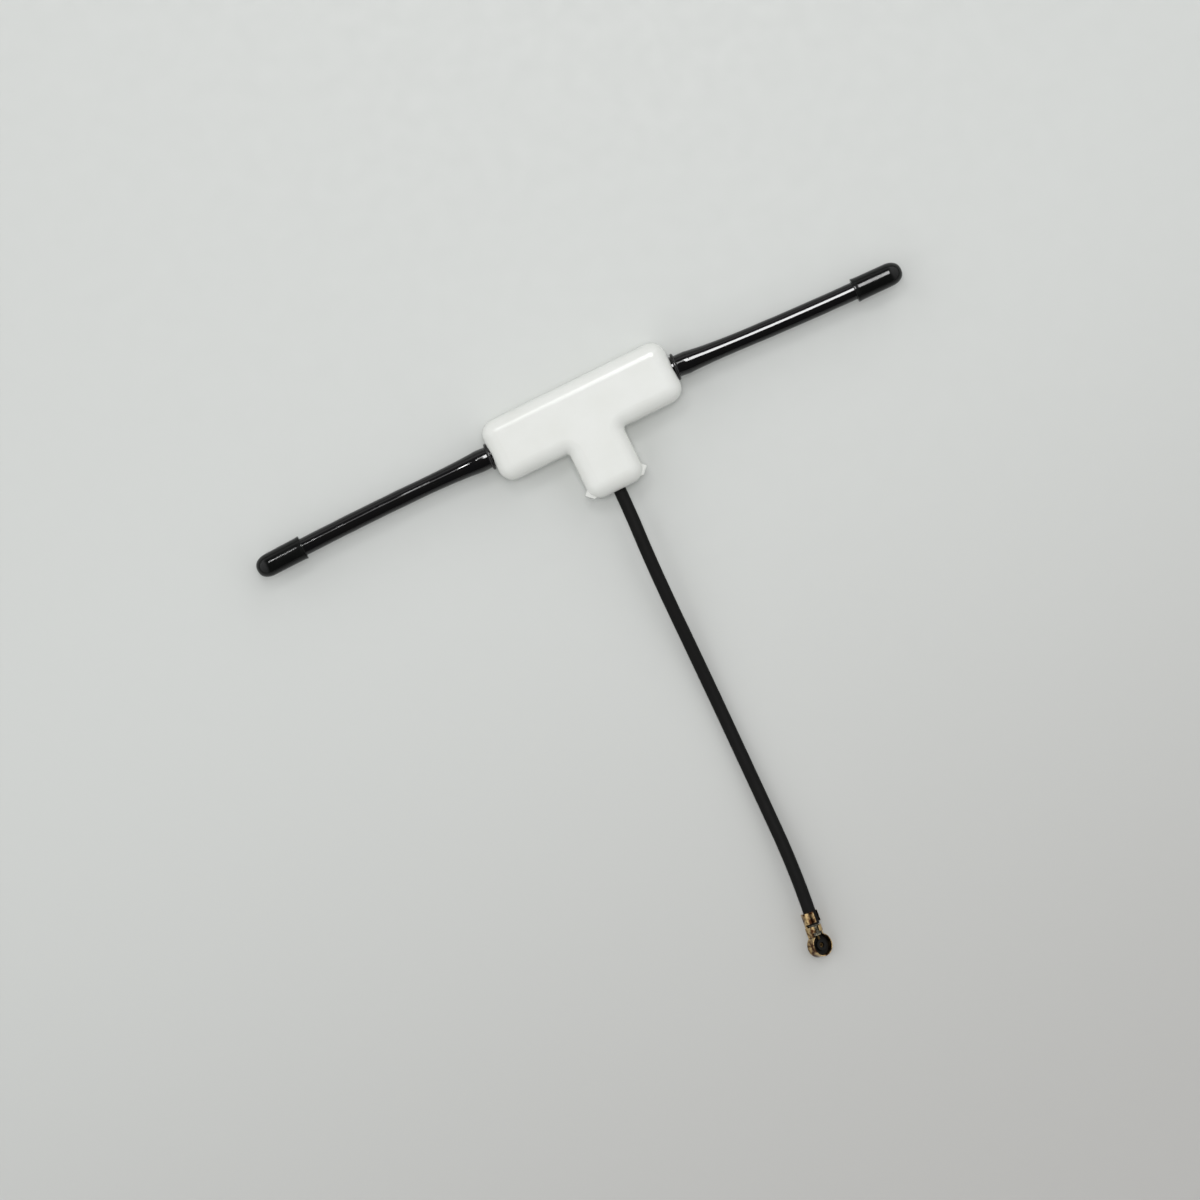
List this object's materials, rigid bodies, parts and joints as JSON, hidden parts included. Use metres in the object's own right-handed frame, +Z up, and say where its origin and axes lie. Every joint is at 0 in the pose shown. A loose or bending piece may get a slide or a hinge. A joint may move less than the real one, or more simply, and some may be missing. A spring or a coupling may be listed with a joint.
{
  "type": "radio receiver antenna",
  "caption": "T-shaped dipole antenna for a radio-control receiver: white split housing, sleeved black arms with end caps, thin coaxial lead and micro coaxial plug.",
  "frame": {"origin": "on the flat underside of the housing, below the crossing of the arm axis and the stem axis", "axes": "+X along the right arm, -Y along the stem towards the lead and its plug, +Z up out of the housing's top face"},
  "size_m": [0.0629, 0.0557, 0.0038],
  "materials": {
    "white_shell": "moulded white plastic with a soft gloss",
    "black_sleeve": "glossy black sleeving",
    "black_cap": "satin black rubber",
    "cable_jacket": "matte black cable jacket",
    "element_metal": "drawn brass wire",
    "board": "solder-masked glass laminate",
    "copper": "copper foil",
    "braid": "tinned braid",
    "dielectric": "milky fluoropolymer",
    "gold_plate": "gold-plated stamped bronze",
    "plug_insulator": "dark moulded insulator"
  },
  "bodies": {
    "root": {"housing_top": "white_shell", "housing_base": "white_shell", "feed_board": "board", "left_pad": "copper", "right_pad": "copper", "left_element": "element_metal", "right_element": "element_metal", "left_sleeve": "black_sleeve", "right_sleeve": "black_sleeve", "left_cap": "black_cap", "right_cap": "black_cap", "coax_cable": "cable_jacket", "feed_braid": "braid", "feed_dielectric": "dielectric", "feed_core": "copper", "plug_braid": "braid", "plug_dielectric": "dielectric", "plug_core": "copper", "plug_shell": "gold_plate", "plug_insulator": "plug_insulator", "plug_contact": "gold_plate"}
  },
  "joints": []
}
